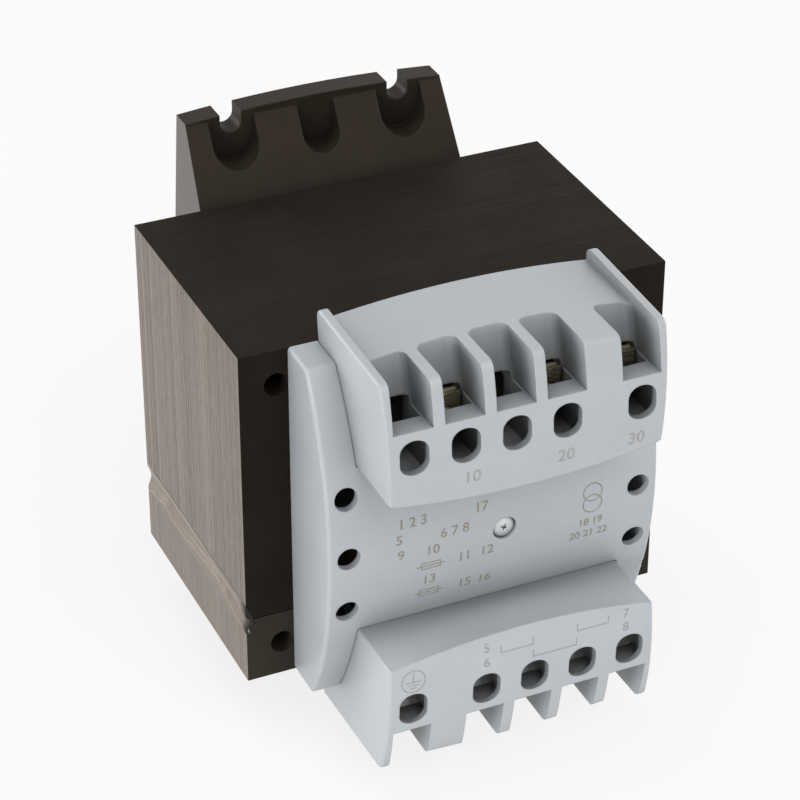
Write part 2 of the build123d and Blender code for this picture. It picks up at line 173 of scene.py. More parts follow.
def spread(tree, value, low, high, newLow=0.0, newHigh=1.0):
    node = addNode(tree, "MapRange")
    for socket, item in zip(node.inputs, (value, low, high, newLow, newHigh)):
        feed(tree, socket, item)
    return node.outputs[0]


def mixColours(tree, amount, first, second):
    node = addNode(tree, "Mix", data_type="RGBA")
    feed(tree, node.inputs[0], amount)
    feed(tree, node.inputs[mixSockets["first"]], first)
    feed(tree, node.inputs[mixSockets["second"]], second)
    return node.outputs[mixSockets["result"]]


def stretch(tree, place, factors):
    node = addNode(tree, "VectorMath", operation="MULTIPLY")
    feed(tree, node.inputs[0], place)
    feed(tree, node.inputs[1], factors)
    return node.outputs[0]


def cloud(tree, place, scale, detail=2.0, rough=0.5):
    node = addNode(tree, "TexNoise")
    feed(tree, node.inputs["Vector"], place)
    feed(tree, node.inputs["Scale"], scale)
    feed(tree, node.inputs["Detail"], detail)
    feed(tree, node.inputs["Roughness"], rough)
    return node.outputs["Fac"]


def drawnCloud(tree, place, factors, noise):
    return cloud(tree, stretch(tree, place, factors), *noise)


def objectPlace(tree):
    return addNode(tree, "TexCoord").outputs["Object"]


def faceNormal(tree):
    return addNode(tree, "NewGeometry").outputs["Normal"]


def attribute(tree, label):
    return addNode(tree, "Attribute", attribute_name=label).outputs["Fac"]


def axisOf(tree, vector, axis):
    node = addNode(tree, "SeparateXYZ")
    feed(tree, node.inputs[0], vector)
    return node.outputs[axis]


def sizeAlong(tree, vector, axis):
    return calc(tree, "ABSOLUTE", axisOf(tree, vector, axis))


def startGroup(name, inputs, outputs):
    group = bpy.data.node_groups.new(name, "ShaderNodeTree")
    for label, kind, value in inputs:
        socket = group.interface.new_socket(label, in_out="INPUT", socket_type="NodeSocket" + kind)
        socket.default_value = value
    for label, kind in outputs:
        group.interface.new_socket(label, in_out="OUTPUT", socket_type="NodeSocket" + kind)
    return group, group.nodes.new("NodeGroupInput"), group.nodes.new("NodeGroupOutput")


def useGroup(tree, group, **values):
    node = tree.nodes.new("ShaderNodeGroup")
    node.node_tree = group
    for label, value in values.items():
        feed(tree, node.inputs[label], value)
    return node.outputs


def startFinish(name, specular=0.5, **fixed):  # fixed values sit on the shader's own sockets
    material = bpy.data.materials.new(name)
    material.use_nodes = True
    shader = material.node_tree.nodes["Principled BSDF"]
    shader.inputs["Specular IOR Level"].default_value = specular
    for label, value in fixed.items():
        shader.inputs[label.replace("_", " ")].default_value = value
    return material, material.node_tree, shader


def addBump(tree, shader, height, strength, distance, normal=None):
    bump = addNode(tree, "Bump")
    bump.inputs["Strength"].default_value = strength
    bump.inputs["Distance"].default_value = distance
    feed(tree, bump.inputs["Height"], height)
    if normal:
        feed(tree, bump.inputs["Normal"], normal)
    feed(tree, shader.inputs["Normal"], bump.outputs[0])


# effects that several finishes share
# a noise is its scale, detail and roughness, or the last two where the scale is an input

effects = {"grainFine": (3.0, 0.6), "grainBroad": (4.0, 0.6), "broadShare": 0.03, "lineNoise": (3.0, 0.7),
           "samples": 6, "edgeTurn": (0.97, 0.75), "creaseOpen": (0.35, 0.95), "hollowShut": 0.10}
heightAndTone = [("Height", "Float"), ("Tone", "Float")]


def makeMouldGrain():
    tree, given, out = startGroup("mouldGrain", [("Scale", "Float", 3000.0)], heightAndTone)
    place = objectPlace(tree)
    fine = cloud(tree, place, given.outputs["Scale"], *effects["grainFine"])
    broadScale = calc(tree, "MULTIPLY", given.outputs["Scale"], effects["broadShare"])
    broad = cloud(tree, place, broadScale, *effects["grainBroad"])
    feed(tree, out.inputs["Height"], fine)
    feed(tree, out.inputs["Tone"], spread(tree, broad, *midTones))
    return tree


def makeRoundedEdges():
    outputs = [("Normal", "Vector"), ("Edge", "Float")]
    tree, given, out = startGroup("roundedEdges", [("Radius", "Float", 0.3 * mm)], outputs)
    bevel = addNode(tree, "Bevel", samples=effects["samples"])
    feed(tree, bevel.inputs["Radius"], given.outputs["Radius"])
    dot = addNode(tree, "VectorMath", operation="DOT_PRODUCT")
    feed(tree, dot.inputs[0], bevel.outputs[0])
    feed(tree, dot.inputs[1], faceNormal(tree))
    feed(tree, out.inputs["Normal"], bevel.outputs[0])
    feed(tree, out.inputs["Edge"], spread(tree, dot.outputs["Value"], *effects["edgeTurn"]))
    return tree


# ambient occlusion masks for painted shade: Crease near corners and joints, Hollow deep in recesses and holes
def makeCreases():
    inputs = [("Near", "Float", 3.0 * mm), ("Far", "Float", 9.0 * mm), ("Clear", "Float", 0.6)]
    tree, given, out = startGroup("creases", inputs, [("Crease", "Float"), ("Hollow", "Float")])
    hollowOpen = (effects["hollowShut"], given.outputs["Clear"])
    for label, reach, openness in (("Crease", "Near", effects["creaseOpen"]), ("Hollow", "Far", hollowOpen)):
        shade = addNode(tree, "AmbientOcclusion", samples=effects["samples"])
        feed(tree, shade.inputs["Distance"], given.outputs[reach])
        feed(tree, out.inputs[label], spread(tree, shade.outputs["AO"], *openness, 1.0, 0.0))
    return tree


def makeRubbedLines():
    inputs = [("Factors", "Vector", (1.0, 1.0, 1.0)), ("Scale", "Float", 2000.0)]
    tree, given, out = startGroup("rubbedLines", inputs, heightAndTone)
    place = stretch(tree, objectPlace(tree), given.outputs["Factors"])
    fine = cloud(tree, place, given.outputs["Scale"], *effects["lineNoise"])
    feed(tree, out.inputs["Height"], fine)
    feed(tree, out.inputs["Tone"], spread(tree, fine, *midTones))
    return tree


mouldGrain = makeMouldGrain()
roundedEdges = makeRoundedEdges()
creases = makeCreases()
rubbedLines = makeRubbedLines()
print("shared effects ready")


# moulded plastics

# the dirt-and-shade colours darken creases by ambient occlusion: dirt, and painted shade; on the cover they
# reach 9 mm and paint shade above the lower block
shellLook = {"pale": (0.478, 0.507, 0.532, 1), "deep": (0.455, 0.484, 0.508, 1),
             "edge": (0.63, 0.66, 0.685, 1), "dirtAndShade": (0.20, 0.215, 0.23, 1), "near": 9.0 * mm,
             "shade": (0.021, 0.020, 0.018, 1), "hollow": 0.6, "far": 3.0 * mm, "clear": 0.32,
             "grain": 3200.0, "rough": (0.36, 0.46), "radius": 0.45 * mm, "bump": 0.12,
             "specular": 0.5, "tint": plainWhite}
blockLook = dict(shellLook, dirtAndShade=(0.38, 0.40, 0.42, 1), near=2.5 * mm, hollow=0.84, far=12.0 * mm, clear=0.90)
# the lower block is the same plastic as the upper one, painted paler for the extra light it gets from below
lowBlockLitLook = dict(blockLook, pale=(0.512, 0.543, 0.568, 1), deep=(0.487, 0.518, 0.543, 1),
                    dirtAndShade=(0.50, 0.53, 0.555, 1), below=-19.5 * mm)
baseLook = {"pale": (0.0290, 0.0218, 0.0163, 1), "deep": (0.0215, 0.0158, 0.0118, 1),
            "edge": (0.055, 0.047, 0.040, 1), "dirtAndShade": (0.010, 0.008, 0.007, 1), "near": 2.5 * mm,
            "shade": (0.005, 0.0042, 0.0035, 1), "hollow": 0.85, "far": 8.0 * mm, "clear": 0.6,
            "grain": 2600.0, "rough": (0.38, 0.48), "radius": 0.4 * mm, "bump": 0.3,
            "specular": 0.10, "tint": (1.0, 0.90, 0.82, 1), "sideGloss": 1.0, "outer": 27.0 * mm}
formerLook = {"pale": (0.085, 0.077, 0.066, 1), "deep": (0.060, 0.054, 0.046, 1),
              "edge": (0.12, 0.11, 0.10, 1), "dirtAndShade": (0.030, 0.027, 0.022, 1), "near": 2.5 * mm,
              "shade": (0.020, 0.018, 0.015, 1), "hollow": 0.2, "far": 6.0 * mm, "clear": 0.5,
              "grain": 2400.0, "rough": (0.5, 0.6), "radius": 0.3 * mm, "bump": 0.3,
              "specular": 0.4, "tint": plainWhite}
plasticShared = {"dirtAndShadeShare": 0.4, "highlightAt": (0.1, 0.5), "highlightShare": (0.6, 0.0), "belowFade": 1.5 * mm,
                 "outerFade": 1.0 * mm, "sideAt": (0.6, 0.9), "coatRough": 0.35,
                 "coatTint": (1.0, 0.95, 0.88, 1), "bumpDeep": 0.05 * mm}


def mouldedPlastic(name, look):
    shared = plasticShared
    material, tree, shader = startFinish(name, look["specular"], Specular_Tint=look["tint"],
                                         Coat_Roughness=shared["coatRough"], Coat_Tint=shared["coatTint"])
    place = objectPlace(tree)
    grain = useGroup(tree, mouldGrain, Scale=look["grain"])
    rounded = useGroup(tree, roundedEdges, Radius=look["radius"])
    crease = useGroup(tree, creases, Near=look["near"], Far=look["far"], Clear=look["clear"])
    # dirt and painted shade: darker near corners, creases and joints between parts
    dirtAndShadeAmount = calc(tree, "MULTIPLY", crease["Crease"], shared["dirtAndShadeShare"])
    # painted highlight: a paler colour along convex edges, kept off concave ones
    proud = spread(tree, crease["Crease"], *shared["highlightAt"], *shared["highlightShare"])
    highlightAmount = calc(tree, "MULTIPLY", rounded["Edge"], proud)
    shaded = calc(tree, "MULTIPLY", crease["Hollow"], look["hollow"])
    if "below" in look:  # no shade on the face that joins the cover
        fade = (look["below"], look["below"] + shared["belowFade"])
        under = spread(tree, axisOf(tree, place, "Z"), *fade, 1.0, 0.0)
        shaded = calc(tree, "MULTIPLY", shaded, under)
    colour = mixColours(tree, grain["Tone"], look["deep"], look["pale"])
    for share, layer in ((dirtAndShadeAmount, "dirtAndShade"), (highlightAmount, "edge"), (shaded, "shade")):
        colour = mixColours(tree, share, colour, look[layer])
    feed(tree, shader.inputs["Base Color"], colour)
    feed(tree, shader.inputs["Roughness"], spread(tree, grain["Tone"], 0.0, 1.0, *look["rough"]))
    if "sideGloss" in look:  # the outer sides shine
        fade = (look["outer"], look["outer"] + shared["outerFade"])
        outer = spread(tree, sizeAlong(tree, place, "X"), *fade, 0.0, look["sideGloss"])
        facing = spread(tree, sizeAlong(tree, faceNormal(tree), "X"), *shared["sideAt"])
        gloss = calc(tree, "MULTIPLY", outer, facing)
        feed(tree, shader.inputs["Coat Weight"], gloss)
    addBump(tree, shader, grain["Height"], look["bump"], shared["bumpDeep"], rounded["Normal"])
    return material


# metals

headLook = {"pale": (0.74, 0.75, 0.75, 1), "deep": (0.56, 0.57, 0.57, 1), "dirtAndShade": (0.16, 0.155, 0.15, 1),
            "rough": (0.42, 0.58), "factors": (1.0, 1.0, 1.0)}
zincLook = {"pale": (0.66, 0.66, 0.64, 1), "deep": (0.42, 0.42, 0.41, 1), "dirtAndShade": (0.08, 0.075, 0.07, 1),
            "rough": (0.26, 0.42), "factors": (3.0, 0.3, 1.0)}
clampLook = {"pale": (0.44, 0.40, 0.27, 1), "deep": (0.19, 0.165, 0.10, 1), "dirtAndShade": (0.04, 0.035, 0.02, 1),
             "rough": (0.20, 0.36), "factors": (0.3, 1.0, 4.0)}
tagLook = {"pale": (0.60, 0.55, 0.42, 1), "deep": (0.38, 0.34, 0.25, 1), "dirtAndShade": (0.07, 0.06, 0.045, 1),
           "rough": (0.28, 0.45), "factors": (4.0, 1.0, 0.3)}
platedShared = {"lines": 1500.0, "radius": 0.12 * mm, "near": 1.0 * mm, "far": 6.0 * mm, "clear": 0.4,
                "dirtAndShadeShare": 0.6, "bump": 0.2, "bumpDeep": 0.02 * mm}


def platedMetal(name, look):
    shared = platedShared
    material, tree, shader = startFinish(name, Metallic=1.0)
    lines = useGroup(tree, rubbedLines, Factors=look["factors"], Scale=shared["lines"])
    rounded = useGroup(tree, roundedEdges, Radius=shared["radius"])
    crease = useGroup(tree, creases, Near=shared["near"], Far=shared["far"], Clear=shared["clear"])
    # dirt and painted shade in creases and hollows, darker by ambient occlusion
    dirtAndShade = calc(tree, "MAXIMUM", crease["Crease"], crease["Hollow"])
    colour = mixColours(tree, lines["Tone"], look["deep"], look["pale"])
    colour = mixColours(tree, calc(tree, "MULTIPLY", dirtAndShade, shared["dirtAndShadeShare"]), colour, look["dirtAndShade"])
    feed(tree, shader.inputs["Base Color"], colour)
    feed(tree, shader.inputs["Roughness"], spread(tree, lines["Tone"], 0.0, 1.0, *look["rough"]))
    addBump(tree, shader, lines["Height"], shared["bump"], shared["bumpDeep"], rounded["Normal"])
    return material


copperLook = {"pale": (0.58, 0.25, 0.11, 1), "deep": (0.36, 0.13, 0.05, 1), "turn": 0.9 * mm, "axis": "Z"}
leadLook = {"pale": (0.62, 0.29, 0.14, 1), "deep": (0.40, 0.16, 0.07, 1), "turn": 0.6 * mm, "axis": "Y"}
copperShared = {"metal": 0.9, "patch": (220.0, 3.0), "rough": (0.22, 0.34), "bump": 0.6,
                "bumpDeep": 0.1 * mm}


def enamelledCopper(name, look):  # rows of round wire
    material, tree, shader = startFinish(name, Metallic=copperShared["metal"])
    place = objectPlace(tree)
    angle = calc(tree, "MULTIPLY", axisOf(tree, place, look["axis"]), 2 * math.pi / look["turn"])
    patch = cloud(tree, place, *copperShared["patch"])
    colour = mixColours(tree, spread(tree, patch, *midTones), look["deep"], look["pale"])
    feed(tree, shader.inputs["Base Color"], colour)
    feed(tree, shader.inputs["Roughness"], spread(tree, patch, *midTones, *copperShared["rough"]))
    addBump(tree, shader, calc(tree, "SINE", angle), copperShared["bump"], copperShared["bumpDeep"])
    return material


wrapLook = {"pale": (0.150, 0.120, 0.090, 1), "deep": (0.095, 0.075, 0.055, 1), "rough": (0.35, 0.5),
            "lap": 12.0 * mm, "lapEdge": 0.08, "factors": (1.0, 1.0, 6.0), "weave": (900.0, 2.0),
            "weaveHigh": 0.2, "bump": 0.5, "bumpDeep": 0.1 * mm}


def windingTape():
    look = wrapLook
    material, tree, shader = startFinish("winding_tape")
    place = objectPlace(tree)
    lap = calc(tree, "FRACT", calc(tree, "DIVIDE", axisOf(tree, place, "X"), look["lap"]))
    weave = drawnCloud(tree, place, look["factors"], look["weave"])
    colour = mixColours(tree, spread(tree, weave, *midTones), look["deep"], look["pale"])
    feed(tree, shader.inputs["Base Color"], colour)
    feed(tree, shader.inputs["Roughness"], spread(tree, weave, *midTones, *look["rough"]))
    threads = calc(tree, "MULTIPLY", weave, look["weaveHigh"])
    height = calc(tree, "ADD", spread(tree, lap, 0.0, look["lapEdge"]), threads)
    addBump(tree, shader, height, look["bump"], look["bumpDeep"])
    return material


# core sheets: dark varnish on the faces and ends, bare drawn edges on the two sides, painted much paler than
# the top for the light those sides catch

sheetLook = {"varnish": (0.0105, 0.0080, 0.0052, 1), "worn": (0.0155, 0.0124, 0.0088, 1),
             "edgeDeep": (0.052, 0.041, 0.032, 1), "edgePale": (0.250, 0.201, 0.163, 1)}
lowSheetLook = {"varnish": (0.0290, 0.0245, 0.0190, 1), "worn": (0.038, 0.033, 0.026, 1),
                "edgeDeep": (0.134, 0.107, 0.087, 1), "edgePale": (0.218, 0.177, 0.146, 1)}
sheetShared = {"specular": 0.08, "tint": (1.0, 0.9, 0.8, 1), "coat": 0.6, "coatRough": 0.42,
               "sideAt": (0.6, 0.9), "outer": (44.5 * mm, 45.0 * mm),
               "smear": (55.0, 4.0, 0.6), "smearAt": (0.4, 0.75),
               "runFactors": (1.0, 9.0, 0.03), "runs": (260.0, 4.0, 0.65),
               "fleckFactors": (1.0, 5.5, 0.02), "flecks": (240.0, 3.0, 0.65),
               "dashFactors": (1.0, 7.0, 1.0), "dashes": (300.0, 3.0, 0.65), "markAt": (0.36, 0.64),
               "sheetShare": 0.40, "runShare": 0.2, "fleckShare": 0.16, "dashShare": 0.27,
               "streakAt": (0.2, 0.9), "rough": (0.62, 0.45), "bump": 0.15, "bumpDeep": 0.05 * mm}


def varnishedSheets(name, look):
    shared = sheetShared
    material, tree, shader = startFinish(name, shared["specular"], Coat_Roughness=shared["coatRough"],
                                         Specular_Tint=shared["tint"])
    place = objectPlace(tree)
    # the two outer sides take the pale edge colours: bare sheet edges, plus painted light that these sides
    # catch
    facing = spread(tree, sizeAlong(tree, faceNormal(tree), "X"), *shared["sideAt"])
    side = calc(tree, "MULTIPLY", facing, spread(tree, sizeAlong(tree, place, "X"), *shared["outer"]))
    smear = spread(tree, cloud(tree, place, *shared["smear"]), *shared["smearAt"])
    runs = drawnCloud(tree, place, shared["runFactors"], shared["runs"])
    flecks = drawnCloud(tree, place, shared["fleckFactors"], shared["flecks"])
    dashes = drawnCloud(tree, place, shared["dashFactors"], shared["dashes"])
    flecks, dashes = (spread(tree, marks, *shared["markAt"]) for marks in (flecks, dashes))
    streak = calc(tree, "MULTIPLY", attribute(tree, "sheetTone"), shared["sheetShare"])
    for layer, share in ((runs, "runShare"), (flecks, "fleckShare"), (dashes, "dashShare")):
        streak = calc(tree, "ADD", streak, calc(tree, "MULTIPLY", layer, shared[share]))
    varnish = mixColours(tree, smear, look["varnish"], look["worn"])
    bareAndLit = mixColours(tree, streak, look["edgeDeep"], look["edgePale"])
    feed(tree, shader.inputs["Base Color"], mixColours(tree, side, varnish, bareAndLit))
    feed(tree, shader.inputs["Roughness"], spread(tree, streak, *shared["streakAt"], *shared["rough"]))
    feed(tree, shader.inputs["Coat Weight"], calc(tree, "MULTIPLY", side, shared["coat"]))
    addBump(tree, shader, runs, shared["bump"], shared["bumpDeep"])
    return material


weldLook = {"pale": (0.232, 0.192, 0.160, 1), "deep": (0.180, 0.147, 0.121, 1),
            "rim": (0.40, 0.345, 0.296, 1), "fringe": (0.168, 0.134, 0.108, 1),
            "varnish": (0.014, 0.011, 0.008, 1),
            "darkEnd": 2.6 * mm, "ragged": 1.8 * mm, "factors": (1.0, 0.6, 2.0), "patch": (420.0, 4.0, 0.6),
            "rimAt": (0.25, 0.6), "rimShare": (0.35, 1.0), "specular": 0.2, "rough": (0.42, 0.55),
            "coat": (0.5, 0.1), "coatRough": 0.42, "bump": 0.2, "bumpDeep": 0.05 * mm}


def weldedSeam():
    look = weldLook
    material, tree, shader = startFinish("welded_seam", look["specular"], Coat_Roughness=look["coatRough"])
    place = objectPlace(tree)
    patch = drawnCloud(tree, place, look["factors"], look["patch"])
    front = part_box("weld_bead_left")[0].y
    fromEnd = calc(tree, "SUBTRACT", axisOf(tree, place, "Y"), front)
    ragged = calc(tree, "ADD", fromEnd, calc(tree, "MULTIPLY", patch, -look["ragged"]))
    dark = spread(tree, ragged, 0.0, look["darkEnd"], 1.0, 0.0)
    patchy = spread(tree, patch, *look["rimAt"], *look["rimShare"])
    # pale rim lines along the weld's edges: bare metal lips, painted paler for the light they catch
    rim = calc(tree, "MULTIPLY", attribute(tree, "weldRim"), patchy)
    melted = mixColours(tree, spread(tree, patch, *midTones), look["deep"], look["pale"])
    bareAndLit = mixColours(tree, attribute(tree, "weldPool"), look["fringe"], melted)
    bareAndLit = mixColours(tree, rim, bareAndLit, look["rim"])
    feed(tree, shader.inputs["Base Color"], mixColours(tree, dark, bareAndLit, look["varnish"]))
    feed(tree, shader.inputs["Roughness"], spread(tree, patch, *midTones, *look["rough"]))
    feed(tree, shader.inputs["Coat Weight"], spread(tree, dark, 0.0, 1.0, *look["coat"]))
    addBump(tree, shader, patch, look["bump"], look["bumpDeep"])
    return material


dropLook = {"deep": (0.010, 0.007, 0.004, 1), "amber": (0.060, 0.040, 0.018, 1), "swirl": (1800.0, 3.0, 0.5),
            "swirlAt": (0.35, 0.7), "rough": (0.10, 0.2), "coat": 1.0, "coatRough": 0.05}


def varnishBead():
    look = dropLook
    material, tree, shader = startFinish("varnish_bead", Coat_Weight=look["coat"],
                                         Coat_Roughness=look["coatRough"])
    swirl = cloud(tree, objectPlace(tree), *look["swirl"])
    colour = mixColours(tree, spread(tree, swirl, *look["swirlAt"]), look["deep"], look["amber"])
    feed(tree, shader.inputs["Base Color"], colour)
    feed(tree, shader.inputs["Roughness"], spread(tree, swirl, *midTones, *look["rough"]))
    return material


blockInkLook = {"pale": (0.405, 0.400, 0.385, 1), "deep": (0.335, 0.330, 0.312, 1)}
coverInkLook = {"pale": (0.345, 0.325, 0.275, 1), "deep": (0.255, 0.232, 0.185, 1)}
inkShared = {"specular": 0.3, "worn": (1400.0, 3.0, 0.6), "wornAt": (0.35, 0.65), "rough": (0.5, 0.65)}


def printedInk(name, look):
    material, tree, shader = startFinish(name, inkShared["specular"])
    worn = cloud(tree, objectPlace(tree), *inkShared["worn"])
    colour = mixColours(tree, spread(tree, worn, *inkShared["wornAt"]), look["deep"], look["pale"])
    feed(tree, shader.inputs["Base Color"], colour)
    feed(tree, shader.inputs["Roughness"], spread(tree, worn, *midTones, *inkShared["rough"]))
    return material


shellGrey = mouldedPlastic("shell_grey", shellLook)
blockGrey = mouldedPlastic("block_grey", blockLook)
lowBlockLitGrey = mouldedPlastic("low_block_grey", lowBlockLitLook)
baseCharcoal = mouldedPlastic("base_charcoal", baseLook)
formerBlack = mouldedPlastic("former_black", formerLook)
zincHead = platedMetal("zinc_head", headLook)
zincScrew = platedMetal("zinc_screw", zincLook)
dullClamp = platedMetal("dull_clamp", clampLook)
tinnedTag = platedMetal("tinned_tag", tagLook)
copperTurns = enamelledCopper("copper_turns", copperLook)
copperLead = enamelledCopper("copper_lead", leadLook)
tape = windingTape()
sheetFinish = varnishedSheets("varnished_sheets", sheetLook)
lowSheetFinish = varnishedSheets("varnished_low_sheets", lowSheetLook)
seamFinish = weldedSeam()
beadFinish = varnishBead()
blockInk = printedInk("block_ink", blockInkLook)
coverInk = printedInk("cover_ink", coverInkLook)

nodeFinishes = [("_winding", copperTurns), ("_wrap", tape), ("bobbin", formerBlack),
                ("rear_base", baseCharcoal), ("front_cover", shellGrey),
                ("primary_terminal_block", blockGrey), ("secondary_terminal_block", lowBlockLitGrey),
                ("_tag", tinnedTag), ("_clamp", dullClamp), ("_screw", zincScrew), ("_lead", copperLead),
                ("core_stack", sheetFinish), ("weld_bead", seamFinish)]
for nodeName, node in frame["nodes"].items():
    finish = next(material for word, material in nodeFinishes if word in nodeName)
    node.data.materials.clear()
    node.data.materials.append(finish)
print("finishes on", len(frame["nodes"]), "nodes")


# core: stacks of thin sheets, each a hair off its neighbours

coreSheets = {"count": 120, "airGap": 0.012 * mm, "inset": 0.02 * mm, "drift": 0.010 * mm,
              "endDrift": 0.006 * mm, "jointGap": 0.35 * mm, "limbShare": 6, "sameTurn": 0.1,
              "holeSides": 24, "drillLong": 10.0 * mm, "seed": 11, "toneStart": 0.5, "toneStep": 0.25,
              "toneRange": (0.1, 0.9), "slowShare": 0.2, "nudge": 0.01}
holePattern = next(m for m in frame["record"]["mounts"] if m["name"] == "core_holes")["dims"]
seamRise = 2.9 * mm  # melted metal ran up the sheets
seamLow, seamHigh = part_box("weld_bead_right")
seamRoot = (seamLow.z + seamHigh.z) / 2
seamHigh.z += seamRise


def blankPlate(low, high):
    clearPick()
    middle = (low + high) / 2
    bpy.ops.mesh.primitive_plane_add(size=1, location=(middle.x, low.y, middle.z), rotation=facingFront)
    plate = bpy.context.object
    plate.scale = (high.x - low.x, high.z - low.z, 1)
    applyPlace(plate)
    return plate


def notchSide(plate, reach, levels):  # pulls the side corners at a level in to the weld's notch
    for level, depth in levels:
        pickInside(plate, "verts", lambda c: abs(abs(c.x) - reach) < touch and abs(c.z - level) < touch)
        bpy.ops.transform.resize(value=((reach - depth) / reach, 1, 1), center_override=(0, 0, 0))


def punchHoles(plate, low, high):
    sides, depth = coreSheets["holeSides"], coreSheets["drillLong"]
    radius = holePattern["hole_r_mm"] * mm
    drills = []
    for side in (-1, 1):
        for end in (-1, 1):
            x = side * holePattern["spacing_x_mm"] * mm / 2
            z = end * holePattern["spacing_y_mm"] * mm / 2
            if low.z < z < high.z:
                clearPick()
                bpy.ops.mesh.primitive_cylinder_add(vertices=sides, radius=radius, depth=depth,
                                                    location=(x, low.y, z), rotation=facingFront)
                drills.append(bpy.context.object)
    drill = joinPieces(drills)
    applyModifier(plate, "BOOLEAN", object=drill, operation="DIFFERENCE", solver="EXACT")
    bpy.data.objects.remove(drill)


def stackPlates(plate, low, high, seed):
    count = coreSheets["count"]
    pitch = (high.y - low.y) / count
    applyModifier(plate, "ARRAY", count=count, use_relative_offset=False, use_constant_offset=True,
                  constant_offset_displace=(0, pitch, 0))
    chance = random.Random(seed)
    least, most = coreSheets["toneRange"]
    step, slowShare = coreSheets["toneStep"], coreSheets["slowShare"]
    slow = coreSheets["toneStart"]
    drifts = []
    for sheet in range(count):
        slow = min(max(slow + chance.uniform(-step, step), least), most)
        across, short = chance.uniform(-1, 1), chance.uniform(0, 1)
        drifts.append((across, short, slowShare * slow + (1 - slowShare) * chance.random()))
    room = coreSheets["inset"] + coreSheets["drift"]
    tones = []
    for vertex in plate.data.vertices:
        sheet = min(int((vertex.co.y - low.y) / pitch + coreSheets["nudge"]), count - 1)
        across, short, tone = drifts[sheet]
        vertex.co.x = vertex.co.x * (1 - room / high.x) + across * coreSheets["drift"]
        if abs(vertex.co.z) > abs(low.z + high.z) / 2:
            vertex.co.z *= 1 - short * coreSheets["endDrift"] / abs(vertex.co.z)
        tones.append(tone)
    shade = plate.data.attributes.new("sheetTone", "FLOAT", "POINT")
    shade.data.foreach_set("value", tones)


def makeSheets(nodeName, name, seed, finish):
    low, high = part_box(nodeName)
    reach = high.x
    notchTop, notchRoot, notchFoot = seamHigh.z, seamRoot, seamLow.z
    bite = seamHigh.x - seamLow.x
    limb = (high.x - low.x) / coreSheets["limbShare"]
    upper = high.z > 0
    joint = low.z if upper else high.z
    jointBite = bite * (notchTop - joint) / (notchTop - notchRoot)
    plate = blankPlate(low, high)
    openEdit(plate)
    if upper:
        for x in (-2 * limb, -limb, limb, 2 * limb):
            scribe((x, 0, 0), (1, 0, 0))
        scribe((0, 0, high.z - limb), (0, 0, 1))
        scribe((0, 0, notchTop), (0, 0, 1))
        pickInside(plate, "faces", lambda c: limb < abs(c.x) < 2 * limb and c.z < high.z - limb)
        bpy.ops.mesh.delete(type="FACE")
        notchSide(plate, reach, [(joint, jointBite)])
    else:
        scribe((0, 0, notchRoot), (0, 0, 1))
        scribe((0, 0, notchFoot), (0, 0, 1))
        notchSide(plate, reach, [(joint, jointBite), (notchRoot, bite)])
        pickInside(plate, "verts", lambda c: abs(c.z - joint) < touch)
        bpy.ops.transform.translate(value=(0, 0, -coreSheets["jointGap"]))
    bpy.ops.mesh.select_all(action="SELECT")
    bpy.ops.mesh.dissolve_limited(angle_limit=math.radians(coreSheets["sameTurn"]))
    closeEdit()
    pitch = (high.y - low.y) / coreSheets["count"]
    applyModifier(plate, "SOLIDIFY", thickness=pitch - coreSheets["airGap"], offset=-1)
    punchHoles(plate, low, high)
    stackPlates(plate, low, high, seed)
    return settle(plate, name, "core", finish, nodeName)


eSheets = makeSheets("e_core_stack", "e_sheets", coreSheets["seed"], sheetFinish)
iSheets = makeSheets("i_core_stack", "i_sheets", coreSheets["seed"] + 1, lowSheetFinish)
print("core sheets:", len(eSheets.data.polygons) + len(iSheets.data.polygons), "faces")


# weld seams that fill the side notches: dished faces that wander, with a sunk dark end at the front
# each rim is a list of (distance from the front end, height) in millimetres

weldSeam = {"along": 240, "across": 32, "hollow": 0.85 * mm, "ripple": 1.4 * mm, "rippleHigh": 0.02 * mm,
            "rippleSharp": 0.7, "bow": 0.9, "crater": 0.9 * mm, "craterRun": 2.4 * mm, "endSink": 0.3 * mm,
            "rimWide": 0.16 * mm, "poolGain": 6, "merge": 0.001 * mm,
            "upperRim": [(0, -23.4), (3, -22.9), (6, -22.1), (12, -22.0), (18, -21.9), (27, -21.1),
                         (36, -20.8), (44, -21.0), (50, -21.3), (54, -21.3), (57, -21.5), (60, -20.8)],
            "lowerRim": [(0, -27.6), (2, -27.3), (5.5, -26.9), (8.5, -26.2), (13, -25.0), (17, -24.5),
                         (22, -24.7), (31, -25.3), (37.5, -26.4), (43, -26.4), (48.5, -25.3), (54, -26.4),
                         (60, -27.6)]}


def rimHeight(line, run):
    for (start, first), (end, second) in zip(weldSeam[line], weldSeam[line][1:]):
        if run <= end * mm or end == weldSeam[line][-1][0]:
            share = min(max((run - start * mm) / ((end - start) * mm), 0.0), 1.0)
            return (first + (second - first) * share * share * (3 - 2 * share)) * mm


def seamPoint(side, low, high, u, v):  # the dished face, from its lower edge to its upper one
    length = high.y - low.y
    run = u * length if side < 0 else (1 - u) * length
    lower, upper = rimHeight("lowerRim", run), rimHeight("upperRim", run)
    y = low.y + weldSeam["endSink"] + u * (length - weldSeam["endSink"])
    z = low.z + v * (high.z - low.z)
    inside = min(max((z - lower) / (upper - lower), 0.0), 1.0)
    dish = 0.5 - 0.5 * math.cos(2 * math.pi * inside)
    phase = y / weldSeam["ripple"] + weldSeam["bow"] * (v - 0.5) ** 2
    ripple = weldSeam["rippleHigh"] * abs(math.sin(math.pi * phase)) ** weldSeam["rippleSharp"] * dish
    pool = max(0.0, 1 - u * length / weldSeam["craterRun"])
    depth = (weldSeam["hollow"] + weldSeam["crater"] * pool * pool) * dish - ripple
    # the rim lines take a painted highlight
    bright = max(math.exp(-((z - rim) / weldSeam["rimWide"]) ** 2) for rim in (lower, upper))
    return (side * (seamHigh.x - depth), y, z), bright, min(1.0, weldSeam["poolGain"] * dish)


